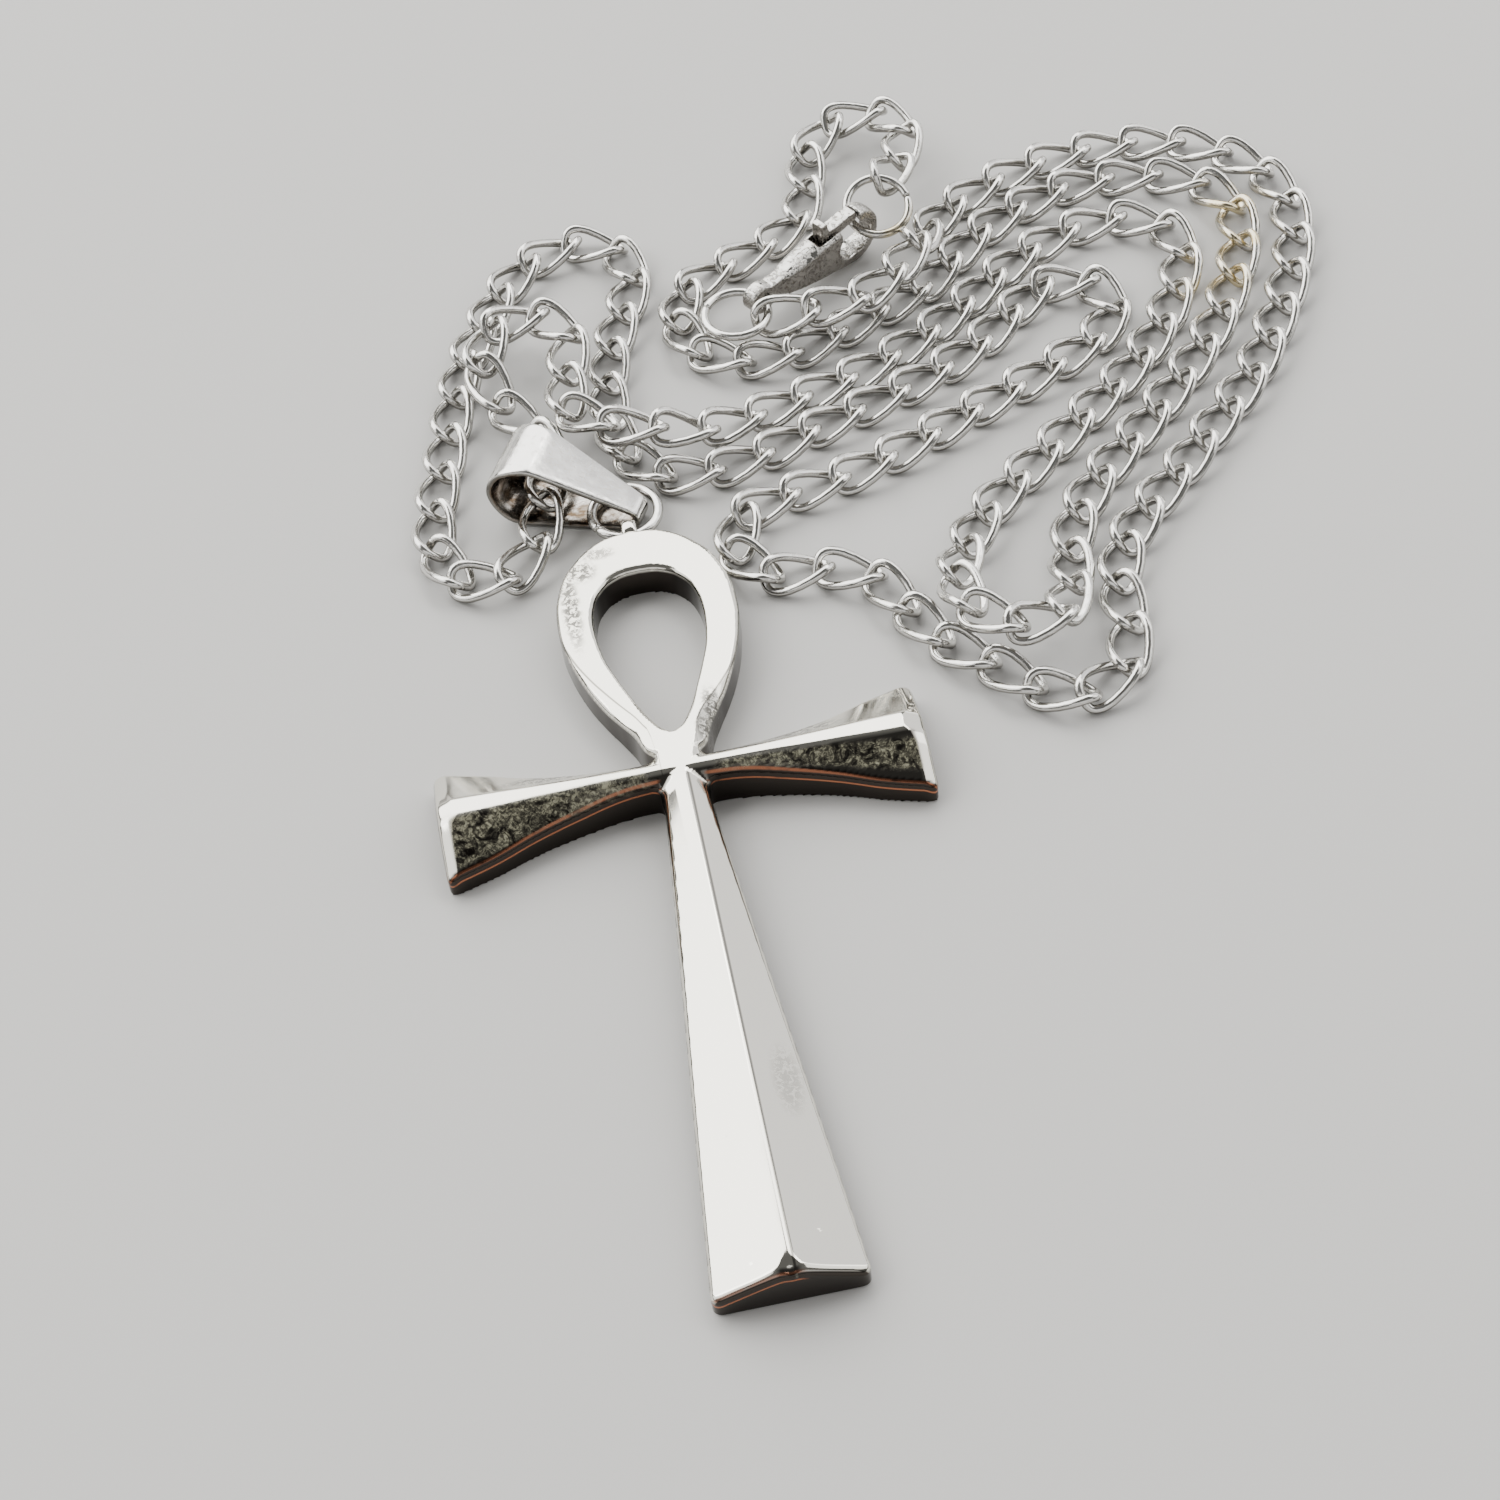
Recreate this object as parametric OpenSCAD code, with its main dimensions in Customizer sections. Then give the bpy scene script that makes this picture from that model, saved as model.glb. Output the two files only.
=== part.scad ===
// Ankh pendant lying flat on its back, with its bail, jump ring, curb chain and lobster clasp.
// Millimetres, +Z up, the loop of the ankh towards +Y.
// The origin is the middle of the cross, on the flat back of the casting.

/* [Ankh] */
// Width over the two arms
arm_span = 36; // [32:0.5:40]
// Width of an arm at its flared end
arm_end_width = 10.1; // [7:0.1:12]
// Length from the middle of the cross to the foot
stem_length = 41.7; // [34:0.5:50]
// Width of the foot
foot_width = 10.6; // [7:0.1:13]
// Length from the middle of the cross to the top of the loop
loop_height = 24.4; // [22:0.2:28]
// Width over the loop
loop_width = 13.8; // [12:0.2:16]
// Width of the loop's band at its sides
band_width = 2.75; // [2:0.05:3.2]
// Width of the loop's band at its top
crown_width = 4.25; // [3:0.05:5]
// Height of the ridges on the arms and the stem
ridge_height = 3.9; // [3.4:0.1:4.6]
// Height of the loop's band along its middle
band_height = 3; // [2.6:0.1:3.3]

/* [Jump ring and eye] */
// Diameter of the jump ring's wire
jump_wire = 0.8; // [0.6:0.05:0.9]
// Diameter of the jump ring between wire centres
jump_diameter = 5.3; // [5.1:0.1:5.6]
// Clearance of the jump ring's wire in the eye
eye_clearance = 0.3; // [0.25:0.05:0.4]

/* [Bail] */
// Length of the bail
bail_length = 12.2; // [11.5:0.1:13.5]
// Height of the bail's fold
bail_height = 6.4; // [5.8:0.1:7]
// Width of the bail at its fold
bail_width = 5.7; // [4:0.1:5.8]
// Width of the bail at its closed tip
bail_tip_width = 1.9; // [1.5:0.1:2.2]
// Height of the closed tip
bail_tip_height = 2.6; // [2.4:0.05:2.9]
// Thickness of the bail's sheet
bail_wall = 0.6; // [0.4:0.05:0.7]

/* [Chain] */
// Diameter of a link's wire
link_wire = 0.64; // [0.5:0.01:0.64]
// Length of a link
link_length = 5.95; // [5.9:0.01:5.98]
// Width of a link
link_width = 3.6; // [3.5:0.05:3.65]
// Twist of a link from its middle to either end, in degrees
link_twist = 46; // [44:1:48]

/* [Clasp] */
// Length of the clasp from the middle of its tail eye to its nose
clasp_length = 13.2; // [12.6:0.1:14]
// Thickness of the clasp across its claw
clasp_thickness = 2.4; // [2.2:0.1:2.6]
// Height of the claw
claw_height = 4.9; // [4.6:0.1:5.3]
// Height of the mouth inside the claw
mouth_height = 3.1; // [2.7:0.1:3.3]
// Thickness of the claw at its nose
nose_wall = 0.7; // [0.5:0.05:0.9]
// Thickness of the tail across its eye
tail_thickness = 1.4; // [1:0.1:1.6]
// Diameter of the hole in the tail eye
tail_hole = 1.4; // [1.3:0.05:1.6]
// Metal round the tail eye
tail_wall = 0.6; // [0.4:0.05:0.7]
// Height of the clasp's neck
neck_height = 1.9; // [1.5:0.1:2.2]
// Diameter of the lever's pin
pin_diameter = 0.6; // [0.4:0.05:0.7]
// Width of the lever
lever_width = 1.2; // [0.9:0.05:1.3]
// Diameter of the end rings between wire centres
end_ring_diameter = 5.3; // [5:0.1:5.8]
// Diameter of the end rings' wire
end_ring_wire = 0.72; // [0.5:0.02:0.74]

/* [Hidden] */
silver = [0.83, 0.82, 0.79];
round_sides = 48;
over = 1;
// Half of the loop from its crown to the crotch, then on into the cross:
// [outer x, outer y, hole x, hole y], shares of half the width and of the heights
LOOP = [
  [0, 1, 0, 1], [0.38, 0.977, 0.39, 0.985], [0.68, 0.912, 0.7, 0.934],
  [0.885, 0.824, 0.905, 0.854], [0.985, 0.721, 0.988, 0.764], [1, 0.623, 1, 0.669],
  [0.95, 0.52, 0.94, 0.531], [0.835, 0.406, 0.77, 0.388], [0.69, 0.311, 0.555, 0.245],
  [0.536, 0.23, 0.36, 0.119], [0.42, 0.164, 0.18, 0.03], [0.33, 0.09, 0.06, 0.004],
  [0, 0.04, 0, 0]];
loop_steps = 2;
// Height of the crotch, where the hole of the loop ends
crotch = 3.4;
// The band's edges lie below its middle by this share of its height
band_edge = 0.87;
// From the middle of the cross to the end of an arm:
// [share of half the span, share of the end's width, share of the ridge height at the edge]
ARM = [[0, 0.21, 0.82], [0.22, 0.24, 0.79], [0.44, 0.38, 0.67], [0.61, 0.54, 0.59],
  [0.8, 0.79, 0.53], [1, 1, 0.49]];
// The same for the stem, from the middle of the cross to the foot
STEM = [[-0.03, 0.26, 0.8], [0.03, 0.3, 0.76], [0.35, 0.53, 0.6], [0.7, 0.79, 0.49],
  [1, 1, 0.44]];
ridge_flat = 0.7;
boss_radius = 2.1;
boss_height = 3.4;
// The eye is a disc on the crown with its hole across the pendant
eye_thickness = 1.2;
eye_wall = 0.6;
eye_radius = jump_wire / 2 + eye_clearance + eye_wall;
eye_gap = 0.05;
eye_y = loop_height + eye_gap + eye_radius - eye_wall;
ring_y = eye_y + jump_diameter / 2;
// Everything past the ankh is placed from the middle of the jump ring.
// The bail's closed tip lies inside that ring
bail_tip = [1.5, -0.5];
bail_turn = 151;
bail_tip_solid = 1;
// The bail reaches its full width at this share of its length
bail_full = 0.85;
link_count = 152;
links_to_bail = 78;
link_stations = 10;
wire_sides = 5;
link_squareness = 0.62;
ground_gap = 0.03;
// The first and last links turn on edge, and hold the end rings this far inside their ends
end_roll = 30;
rolled_links = 2;
link_hold = 0.45;
// Tail eye of the clasp, and the way that the clasp points
clasp_at = [14.6, 19.8, 2.75];
clasp_turn = 33;
clasp_way = [cos(clasp_turn), sin(clasp_turn), 0];
// The clasp's side view: x from the tail eye to the nose, y up
tail_radius = tail_hole / 2 + tail_wall;
claw_radius = claw_height / 2;
claw_x = clasp_length - claw_radius;
mouth_radius = mouth_height / 2;
mouth_end = clasp_length - nose_wall;
mouth_back = 1.1;
mouth_step = 0.1;
cheek_start = 2.6;
neck_lap = 1.4;
// The clasp from above: [share of its length, share of half its thickness]
CLASP_PLAN = [[-0.2, 0.6], [0.12, 0.62], [0.32, 0.92], [0.47, 1], [0.68, 1], [0.86, 0.78], [1.1, 0.55]];
// Corners of the claw's flanks: [distance behind the claw's middle, share of its half height]
CLAW = [[3, -0.73], [0.5, -0.97], [0, 0], [1.2, 0.8], [4.4, 0.7]];
hinge_from_nose = 5.5;
hinge_height = 1.25;
hinge = [clasp_length - hinge_from_nose, hinge_height];
pin_clearance = 0.08;
slot_clearance = 0.15;
slot_floor = 0.25;
slot_back = 1.25;
slot_length = 3;
opening_from_pin = 1.1;
opening_floor = 0.4;
tip_from_nose = 2.3;
tip_gap = 0.15;
lever_end = clasp_length - tip_from_nose;
lever_knuckle = 0.8;
lever_sink = 0.1;
lever_bend = 0.6;
// The lever seen from its pin: below the pin, then over its back and its thumb piece
LEVER_FRONT = [[0, -0.8], [0.9, 0]];
LEVER_BACK = [[1.1, 0.95], [0.1, 1], [-0.1, 1.9], [-0.7, 1.9], [-0.8, 0]];
// The tail ring lies a little below the middle of the tail eye
tail_ring_slip = 0.05;
tail_ring_drop = 0.15;
tail_ring_at = clasp_at - (end_ring_diameter / 2 - tail_ring_slip) * clasp_way
  - [0, 0, tail_ring_drop];
tail_link_angle = -25;
// The end ring lies in the mouth and leans up from the claw
end_ring_tilt = 22;
end_ring_gap = 0.45;
end_ring_bow = end_ring_diameter / 2
  - sqrt(pow(end_ring_diameter / 2, 2) - pow(clasp_thickness / 2, 2));
end_ring_reach = end_ring_diameter / 2
  / norm([cos(clasp_turn), sin(clasp_turn) / cos(end_ring_tilt)]);
end_ring_at = clasp_at
  + (mouth_end - end_ring_gap - end_ring_wire / 2 - end_ring_bow + end_ring_reach) * clasp_way
  + [0, 0, end_ring_reach * sin(clasp_turn) * tan(end_ring_tilt)];
end_link_angle = 70;
// Where the chain lies, from the tail ring through the bail to the end ring:
// [x, y, lift above its height at rest]. The end rings give its two ends
ROUTE = [
  [18.17, 16.77, 2.1], [22.94, 17, 2.2], [29.44, 24.06, 1.42], [30.06, 25.86, 0.08],
  [36.03, 29.91, 0.13], [56.6, 29.2, 0], [59.2, 26.2, 0], [52.8, 3.9, 0], [45.3, -4.3, 0],
  [35.8, -15.2, 0], [35, -22.6, 0], [33.2, -25.9, 0], [29.6, -26.5, 0], [24, -21.4, 0],
  [21.2, -18.6, 0], [19.5, -15.2, 0], [18.6, -12.2, 0], [16.2, -9.8, 0], [9.4, -8.9, 0],
  [7.5, -5.8, 0], [8.9, -2.4, 0], [12.4, -1.3, 0], [16.6, -0.6, 0], [30.8, 4.9, 0], [35.1, 6.7, 0],
  [43.2, 12.8, 0], [42.3, 16, 0], [39.2, 17.2, 0], [36, 15.5, 0], [33.2, 12.8, 0], [14.5, 4.7, 0],
  [10.1, 3.2, 0], [3.2, 3.6, 0], [1, 6.4, 0], [0.4, 9.8, 0], [2.2, 20.4, 0], [5, 27.2, 0],
  [4, 30.6, 0], [1.1, 32.4, 0], [-2.4, 31.6, 0], [-9.3, 22.6, 0], [-13.6, 8.8, 0], [-15.2, 2, 0],
  [-15.2, -1.4, 0], [-13, -4.3, 0], [-9.7, -4.6, 0.15], [-7.3, -2.3, 0.45], [-6.8, 0.5, 0.75],
  [-4.8, 6, 1.2], [-5.2, 9, 0.9], [-7.1, 12.1, 0.35], [-8.9, 15.4, 1.55], [-9, 19.1, 2.45],
  [-5.3, 22.3, 2.45], [-1.5, 19.5, 2.45], [-2, 15.6, 2.25], [-3.3, 12.3, 1.95], [-2.1, 9.1, 2.3],
  [4.2, 6.7, 2.05], [7.2, 6.7, 0.95], [14.2, 8.6, 0], [22.4, 11.1, 0], [29.9, 15.3, 0],
  [33.1, 17.9, 0], [43.8, 23.1, 0], [47.4, 22.9, 0], [50.3, 20.5, 0], [48.4, 13.2, 0],
  [43.9, 6.9, 0], [34.9, -0.8, 0], [25.6, -9.4, 0.25], [23.3, -16.8, 2.15], [25.4, -20.2, 2.45],
  [29.1, -20.8, 2.25], [31.7, -18.2, 1.55], [32.2, -14.4, 0.15], [36, -6.4, 0], [38.8, -3.8, 0],
  [53.5, 13.8, 0], [56, 21.2, 0], [54.6, 24.9, 0], [44.1, 28.2, 0], [33.7, 24, 0], [28.2, 19, 0],
  [24.5, 17.5, 0], [13.2, 14.2, 0], [9.6, 15.4, 0], [7.7, 22, 0], [9.9, 24.9, 0], [13.4, 26.3, 0],
  [19.9, 30.1, 0], [21.2, 33.4, 0], [21.5, 37, 0], [23.67, 40.33, 0.62], [27.51, 40.93, 1.31],
  [30.61, 38.29, 1.92], [29.52, 33.29, 2.19]];
route_steps = 12;

function hermite(a, b, ta, tb, d, u) =
  (2 * pow(u, 3) - 3 * pow(u, 2) + 1) * a + (pow(u, 3) - 2 * pow(u, 2) + u) * d * ta
  + (3 * pow(u, 2) - 2 * pow(u, 3)) * b + (pow(u, 3) - pow(u, 2)) * d * tb;
function slope(p, i) =
  let (last = len(p) - 1, before = p[max(i - 1, 0)], after = p[min(i + 1, last)])
  let (d1 = norm(p[i] - before), d2 = norm(after - p[i]))
  i == 0 ? (after - p[i]) / d2 : i == last ? (p[i] - before) / d1
  : ((p[i] - before) * d2 / d1 + (after - p[i]) * d1 / d2) / (d1 + d2);
// A smooth line through rows of numbers
function spline(p, steps) = [
  for (i = [0 : len(p) - 2]) for (k = [0 : steps - 1])
    hermite(p[i], p[i + 1], slope(p, i), slope(p, i + 1), norm(p[i + 1] - p[i]), k / steps),
  p[len(p) - 1]];
function unit(v) = v / norm(v);
// Triangles of a tube of rings laid end to end, each ring of n points, from point "first" on
function closed_tube(rings, n, first) = [
  for (i = [0 : rings - 1]) for (j = [0 : n - 1])
    let (a = first + i * n + j, b = first + i * n + (j + 1) % n)
    let (c = first + ((i + 1) % rings) * n + (j + 1) % n, d = first + ((i + 1) % rings) * n + j)
    each [[a, b, c], [a, c, d]]];

// Loop of the ankh: a band of five corners led round the hole
module loop_band() {
  half = spline(LOOP, loop_steps);
  n = len(half);
  hole_half = loop_width / 2 - band_width;
  hole_top = loop_height - crown_width;
  rows = [for (r = half) [r[0] * loop_width / 2, r[1] * loop_height,
    r[2] * hole_half, crotch + r[3] * (hole_top - crotch)]];
  ring = concat(rows, [for (i = [n - 2 : -1 : 1])
    [-rows[i][0], rows[i][1], -rows[i][2], rows[i][3]]]);
  points = [for (r = ring) each [
    [r[2], r[3], 0], [r[2], r[3], band_edge * band_height],
    [(r[0] + r[2]) / 2, (r[1] + r[3]) / 2, band_height],
    [r[0], r[1], band_edge * band_height], [r[0], r[1], 0]]];
  polyhedron(points, closed_tube(len(ring), 5, 0));
}

// Flat-backed bar with a ridge along +X, from rows [x, half width, height of the edges]
module ridged_bar(rows) {
  n = len(rows);
  points = [for (r = rows) each [
    [r[0], -r[1], 0], [r[0], -r[1], r[2]], [r[0], -ridge_flat / 2, ridge_height],
    [r[0], ridge_flat / 2, ridge_height], [r[0], r[1], r[2]], [r[0], r[1], 0]]];
  sides = [for (i = [0 : n - 2]) for (j = [0 : 5])
    let (a = i * 6 + j, b = i * 6 + (j + 1) % 6) each [[a, b, b + 6], [a, b + 6, a + 6]]];
  polyhedron(points, concat(sides, [[5, 4, 3, 2, 1, 0]], [[for (j = [0 : 5]) (n - 1) * 6 + j]]));
}

module arms() {
  half = [for (r = spline(ARM, 2))
    [r[0] * arm_span / 2, r[1] * arm_end_width / 2, r[2] * ridge_height]];
  n = len(half);
  ridged_bar(concat([for (i = [n - 1 : -1 : 1]) [-half[i][0], half[i][1], half[i][2]]], half));
}

module stem() {
  rotate([0, 0, -90])
    ridged_bar([for (r = STEM) [r[0] * stem_length, r[1] * foot_width / 2, r[2] * ridge_height]]);
}

module ankh() {
  color(silver) difference() {
    union() {
      loop_band();
      arms();
      stem();
      cylinder(h = boss_height, r = boss_radius, $fn = round_sides);
      translate([0, eye_y, eye_radius]) rotate([0, 90, 0])
        cylinder(h = eye_thickness, r = eye_radius, center = true, $fn = round_sides);
    }
    translate([0, eye_y, eye_radius]) rotate([0, 90, 0])
      cylinder(h = eye_thickness + over, r = eye_radius - eye_wall, center = true, $fn = round_sides);
  }
}

module torus(diameter, wire) {
  rotate_extrude($fn = round_sides) translate([diameter / 2, 0]) circle(d = wire, $fn = round_sides);
}

module jump_ring() {
  color(silver) translate([0, ring_y, eye_radius]) torus(jump_diameter, jump_wire);
}

// Side view of the bail's space at a distance "inset" inside the sheet's outer face
module bail_side(inset) {
  r = bail_height / 2;
  middle = [bail_length - r, r];
  reach = middle - [0, bail_tip_height];
  lean = atan2(reach[1], reach[0]) + asin(r / norm(reach));
  up = [-sin(lean), cos(lean)];
  top = middle + (r - inset) * up;
  start = inset > 0 ? bail_tip_solid : 0;
  translate(middle) circle(r = r - inset, $fn = round_sides);
  polygon([[start, inset], [middle[0], inset], middle, top,
    [start, top[1] - (top[0] - start) * tan(lean)]]);
}

module bail() {
  reach = bail_length + over;
  color(silver) translate([bail_tip[0], ring_y + bail_tip[1], 0]) rotate([0, 0, bail_turn])
    intersection() {
      rotate([90, 0, 0]) linear_extrude(bail_width + over, center = true) difference() {
        bail_side(0);
        bail_side(bail_wall);
      }
      linear_extrude(bail_height + over) polygon([[-over, -bail_tip_width / 2],
        [0, -bail_tip_width / 2], [bail_length * bail_full, -bail_width / 2], [reach, -bail_width / 2],
        [reach, bail_width / 2], [bail_length * bail_full, bail_width / 2], [0, bail_tip_width / 2],
        [-over, bail_tip_width / 2]]);
    }
}

// Centre line of one link between joints a and b, rolled about its length
function link_line(a, b, roll) =
  let (along = unit(b - a), flat = unit(cross([0, 0, 1], along)), up = cross(along, flat))
  let (side = cos(roll) * flat + sin(roll) * up, lift = cos(roll) * up - sin(roll) * flat)
  [for (k = [0 : link_stations - 1])
    let (t = 360 * k / link_stations)
    let (x = sign(cos(t)) * pow(abs(cos(t)), link_squareness))
    let (y = sign(sin(t)) * pow(abs(sin(t)), link_squareness) * (link_width - link_wire) / 2)
    (a + b) / 2 + x * (link_length - link_wire) / 2 * along
      + y * cos(link_twist * x) * side - y * sin(link_twist * x) * lift];
// Rings of points round that line
function link_points(line) =
  let (n = len(line), middle = (line[0] + line[n / 2]) / 2)
  [for (k = [0 : n - 1])
    let (t = unit(line[(k + 1) % n] - line[(k + n - 1) % n]), out = line[k] - middle)
    let (u = unit(out - (out * t) * t), v = cross(u, t))
    for (j = [0 : wire_sides - 1])
      let (s = 360 * j / wire_sides)
      line[k] + link_wire / 2 * (cos(s) * u + sin(s) * v)];

rest_height = ground_gap + link_wire / 2 + max([for (k = [0 : link_stations - 1])
  let (p = link_line([0, 0, 0], [1, 0, 0], 0)[k]) p[2]]);
// A joint that holds a ring's wire at "wire" in a link that points at "next"
function held(wire, next) = wire - link_hold * unit(next - wire);
function on_ring(centre, angle, tilt) = centre + end_ring_diameter / 2
  * [cos(angle), sin(angle) * cos(tilt), sin(angle) * sin(tilt)];
lifted = [for (r = ROUTE) [r[0], r[1], r[2] + rest_height]];
route_line = [for (p = spline(concat(
    [held(on_ring(tail_ring_at, tail_link_angle, 0), lifted[0])], lifted,
    [held(on_ring(end_ring_at, end_link_angle, end_ring_tilt), lifted[len(lifted) - 1])]),
  route_steps)) p + [0, ring_y, 0]];
route_far = [for (i = 0, s = 0; i < len(route_line);
  s = s + (i + 1 < len(route_line) ? norm(route_line[i + 1] - route_line[i]) : 0), i = i + 1) s];
// The route's x, y and z against the distance along it
route_tables = [for (c = [0 : 2])
  [for (i = [0 : len(route_line) - 1]) [route_far[i], route_line[i][c]]]];
route_length = route_far[len(route_far) - 1];
joints = [for (k = [0 : link_count])
  let (p = [for (table = route_tables) lookup(k * route_length / link_count, table)])
  [p[0], p[1], max(p[2], rest_height)]];
function roll_at(k) = end_roll * (max(0, 1 - k / rolled_links)
  - max(0, 1 - (link_count - k) / rolled_links));

// Links from number "from" up to number "to", all in one polyhedron
module links(from, to) {
  size = link_stations * wire_sides;
  points = [for (k = [from : to - 1])
    each link_points(link_line(joints[k], joints[k + 1], roll_at(k + 0.5)))];
  faces = [for (k = [0 : to - from - 1]) each closed_tube(link_stations, wire_sides, k * size)];
  color(silver) polyhedron(points, faces);
}

module chain_clasp_half() { links(0, links_to_bail); }
module chain_ring_half() { links(links_to_bail, link_count); }

// Moves a side view drawn in X and Y onto the clasp, as a plate of the given thickness
module clasp_plate(thickness) {
  rotate([90, 0, 0]) linear_extrude(thickness, center = true) children();
}

module place_clasp() {
  translate(clasp_at + [0, ring_y, 0]) rotate([0, 0, clasp_turn]) children();
}

module hinge_pin() {
  translate([hinge[0], 0, hinge[1]]) rotate([90, 0, 0])
    cylinder(h = clasp_thickness, d = pin_diameter, center = true, $fn = round_sides);
}

module tail_side() {
  difference() {
    union() {
      circle(r = tail_radius, $fn = round_sides);
      translate([0, -neck_height / 2]) square([cheek_start + neck_lap, neck_height]);
    }
    circle(r = tail_hole / 2, $fn = round_sides);
  }
}

module mouth() {
  middle = mouth_end - mouth_radius;
  translate([middle, 0]) circle(r = mouth_radius, $fn = round_sides);
  translate([middle - mouth_back, 0]) circle(r = mouth_radius - mouth_step, $fn = round_sides);
  translate([middle - mouth_back, mouth_step - mouth_radius])
    square([mouth_back, 2 * (mouth_radius - mouth_step)]);
}

module claw_side() {
  difference() {
    union() {
      translate([claw_x, 0]) circle(r = claw_radius, $fn = round_sides);
      polygon(concat([[cheek_start, -neck_height / 2]],
        [for (c = CLAW) [claw_x - c[0], c[1] * claw_radius]], [[cheek_start, neck_height / 2]]));
    }
    mouth();
    translate([hinge[0] + opening_from_pin, opening_floor])
      square([lever_end + tip_gap - hinge[0] - opening_from_pin, claw_radius]);
  }
}

module clasp_plan() {
  side = [for (c = CLASP_PLAN) [c[0] * clasp_length, c[1] * clasp_thickness / 2]];
  linear_extrude(claw_height + over, center = true)
    polygon(concat(side, [for (i = [len(side) - 1 : -1 : 0]) [side[i][0], -side[i][1]]]));
}

module clasp_body() {
  color(silver) place_clasp() {
    difference() {
      intersection() {
        union() {
          clasp_plate(tail_thickness) tail_side();
          clasp_plate(clasp_thickness) claw_side();
        }
        clasp_plan();
      }
      clasp_plate(lever_width + 2 * slot_clearance)
        translate([hinge[0] - slot_back, slot_floor]) square([slot_length, claw_radius]);
    }
    hinge_pin();
  }
}

module lever_side() {
  top = claw_radius - lever_sink;
  difference() {
    union() {
      translate(hinge) circle(r = lever_knuckle, $fn = round_sides);
      polygon(concat([for (p = LEVER_FRONT) hinge + p],
        [[lever_end, mouth_radius], [lever_end, top], [claw_x - lever_bend, top]],
        [for (p = LEVER_BACK) hinge + p]));
    }
    translate(hinge) circle(r = pin_diameter / 2 + pin_clearance, $fn = round_sides);
  }
}

module clasp_lever() { color(silver) place_clasp() clasp_plate(lever_width) lever_side(); }

module tail_ring() {
  color(silver) translate(tail_ring_at + [0, ring_y, 0])
    torus(end_ring_diameter, end_ring_wire);
}

module end_ring() {
  color(silver) translate(end_ring_at + [0, ring_y, 0]) rotate([end_ring_tilt, 0, 0])
    torus(end_ring_diameter, end_ring_wire);
}

ankh();
bail();
jump_ring();
chain_clasp_half();
chain_ring_half();
clasp_body();
clasp_lever();
tail_ring();
end_ring();
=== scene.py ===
import math

import bpy
import numpy as np
from mathutils import Matrix, Vector


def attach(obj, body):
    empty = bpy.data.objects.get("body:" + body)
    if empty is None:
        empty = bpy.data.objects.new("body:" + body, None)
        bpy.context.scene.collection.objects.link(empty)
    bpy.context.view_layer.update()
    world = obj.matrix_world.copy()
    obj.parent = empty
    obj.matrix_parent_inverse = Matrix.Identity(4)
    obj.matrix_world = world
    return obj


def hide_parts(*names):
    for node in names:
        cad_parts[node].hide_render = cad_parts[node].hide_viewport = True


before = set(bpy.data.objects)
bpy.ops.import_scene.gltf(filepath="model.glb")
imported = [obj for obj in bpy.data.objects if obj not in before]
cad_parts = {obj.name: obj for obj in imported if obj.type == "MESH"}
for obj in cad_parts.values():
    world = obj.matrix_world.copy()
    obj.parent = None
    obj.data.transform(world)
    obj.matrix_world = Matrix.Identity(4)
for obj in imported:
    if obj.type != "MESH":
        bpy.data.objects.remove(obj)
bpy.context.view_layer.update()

# The view. The necklace lies on a table, and the camera looks down on it from beyond the
# pendant's foot at the angle of the photograph, turned and tipped by a few degrees as a hand
# held it. Every size below is in millimetres, and MM turns it into metres.
MM = 0.001
camera = bpy.data.objects.new("camera", bpy.data.cameras.new("camera"))
camera.data.sensor_width = 36
camera.data.lens = 67.98
view_elevation = math.radians(52)
view_turn = math.radians(-4.69)
view_roll = math.radians(-7.33)
view_target = Vector((5.39, 3.06, 0)) * MM
view_distance = 209.7 * MM
away = Vector((math.sin(view_turn) * math.cos(view_elevation),
               -math.cos(view_turn) * math.cos(view_elevation), math.sin(view_elevation)))
level = Vector((0, 0, 1)).cross(away).normalized()
upright = away.cross(level)
right = math.cos(view_roll) * level + math.sin(view_roll) * upright
up = math.cos(view_roll) * upright - math.sin(view_roll) * level
camera.matrix_world = (Matrix.Translation(view_target + view_distance * away)
                       @ Matrix((right, up, away)).transposed().to_4x4())
bpy.context.scene.collection.objects.link(camera)
bpy.context.scene.camera = camera


# The table. A plain pale sheet, a hair below the pendant's flat back, so that the metal rests
# on it. It is a matt paint with a faint unevenness and isn't part of the object.
table_size = 4000
table_colour = (0.68, 0.676, 0.664, 1)
table_drop = 0.05


def add_node(tree, kind, values=(), **settings):
    made = tree.nodes.new("ShaderNode" + kind)
    for name, value in settings.items():
        setattr(made, name, value)
    for name, value in dict(values).items():
        if isinstance(value, bpy.types.NodeSocket):
            tree.links.new(value, made.inputs[name])
        else:
            made.inputs[name].default_value = value
    return made


def new_material(name):
    material = bpy.data.materials.new(name)
    material.use_nodes = True
    tree = material.node_tree
    return material, tree, tree.nodes["Principled BSDF"]


def uneven(tree, shader, height, strength, distance):
    """Makes the surface uneven, on top of the unevenness that it has already."""
    bump = add_node(tree, "Bump", {"Height": height, "Strength": strength, "Distance": distance})
    normal = shader.inputs["Normal"]
    if normal.is_linked:
        tree.links.new(normal.links[0].from_socket, bump.inputs["Normal"])
    tree.links.new(bump.outputs["Normal"], normal)


def new_piece(name, points, faces, material, smooth=True):
    mesh = bpy.data.meshes.new(name)
    mesh.from_pydata((np.asarray(points) * MM).tolist(), [], [list(f) for f in faces])
    mesh.materials.append(material)
    mesh.polygons.foreach_set("use_smooth", [smooth] * len(mesh.polygons))
    mesh.update()
    piece = bpy.data.objects.new(name, mesh)
    bpy.context.scene.collection.objects.link(piece)
    return piece


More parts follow.
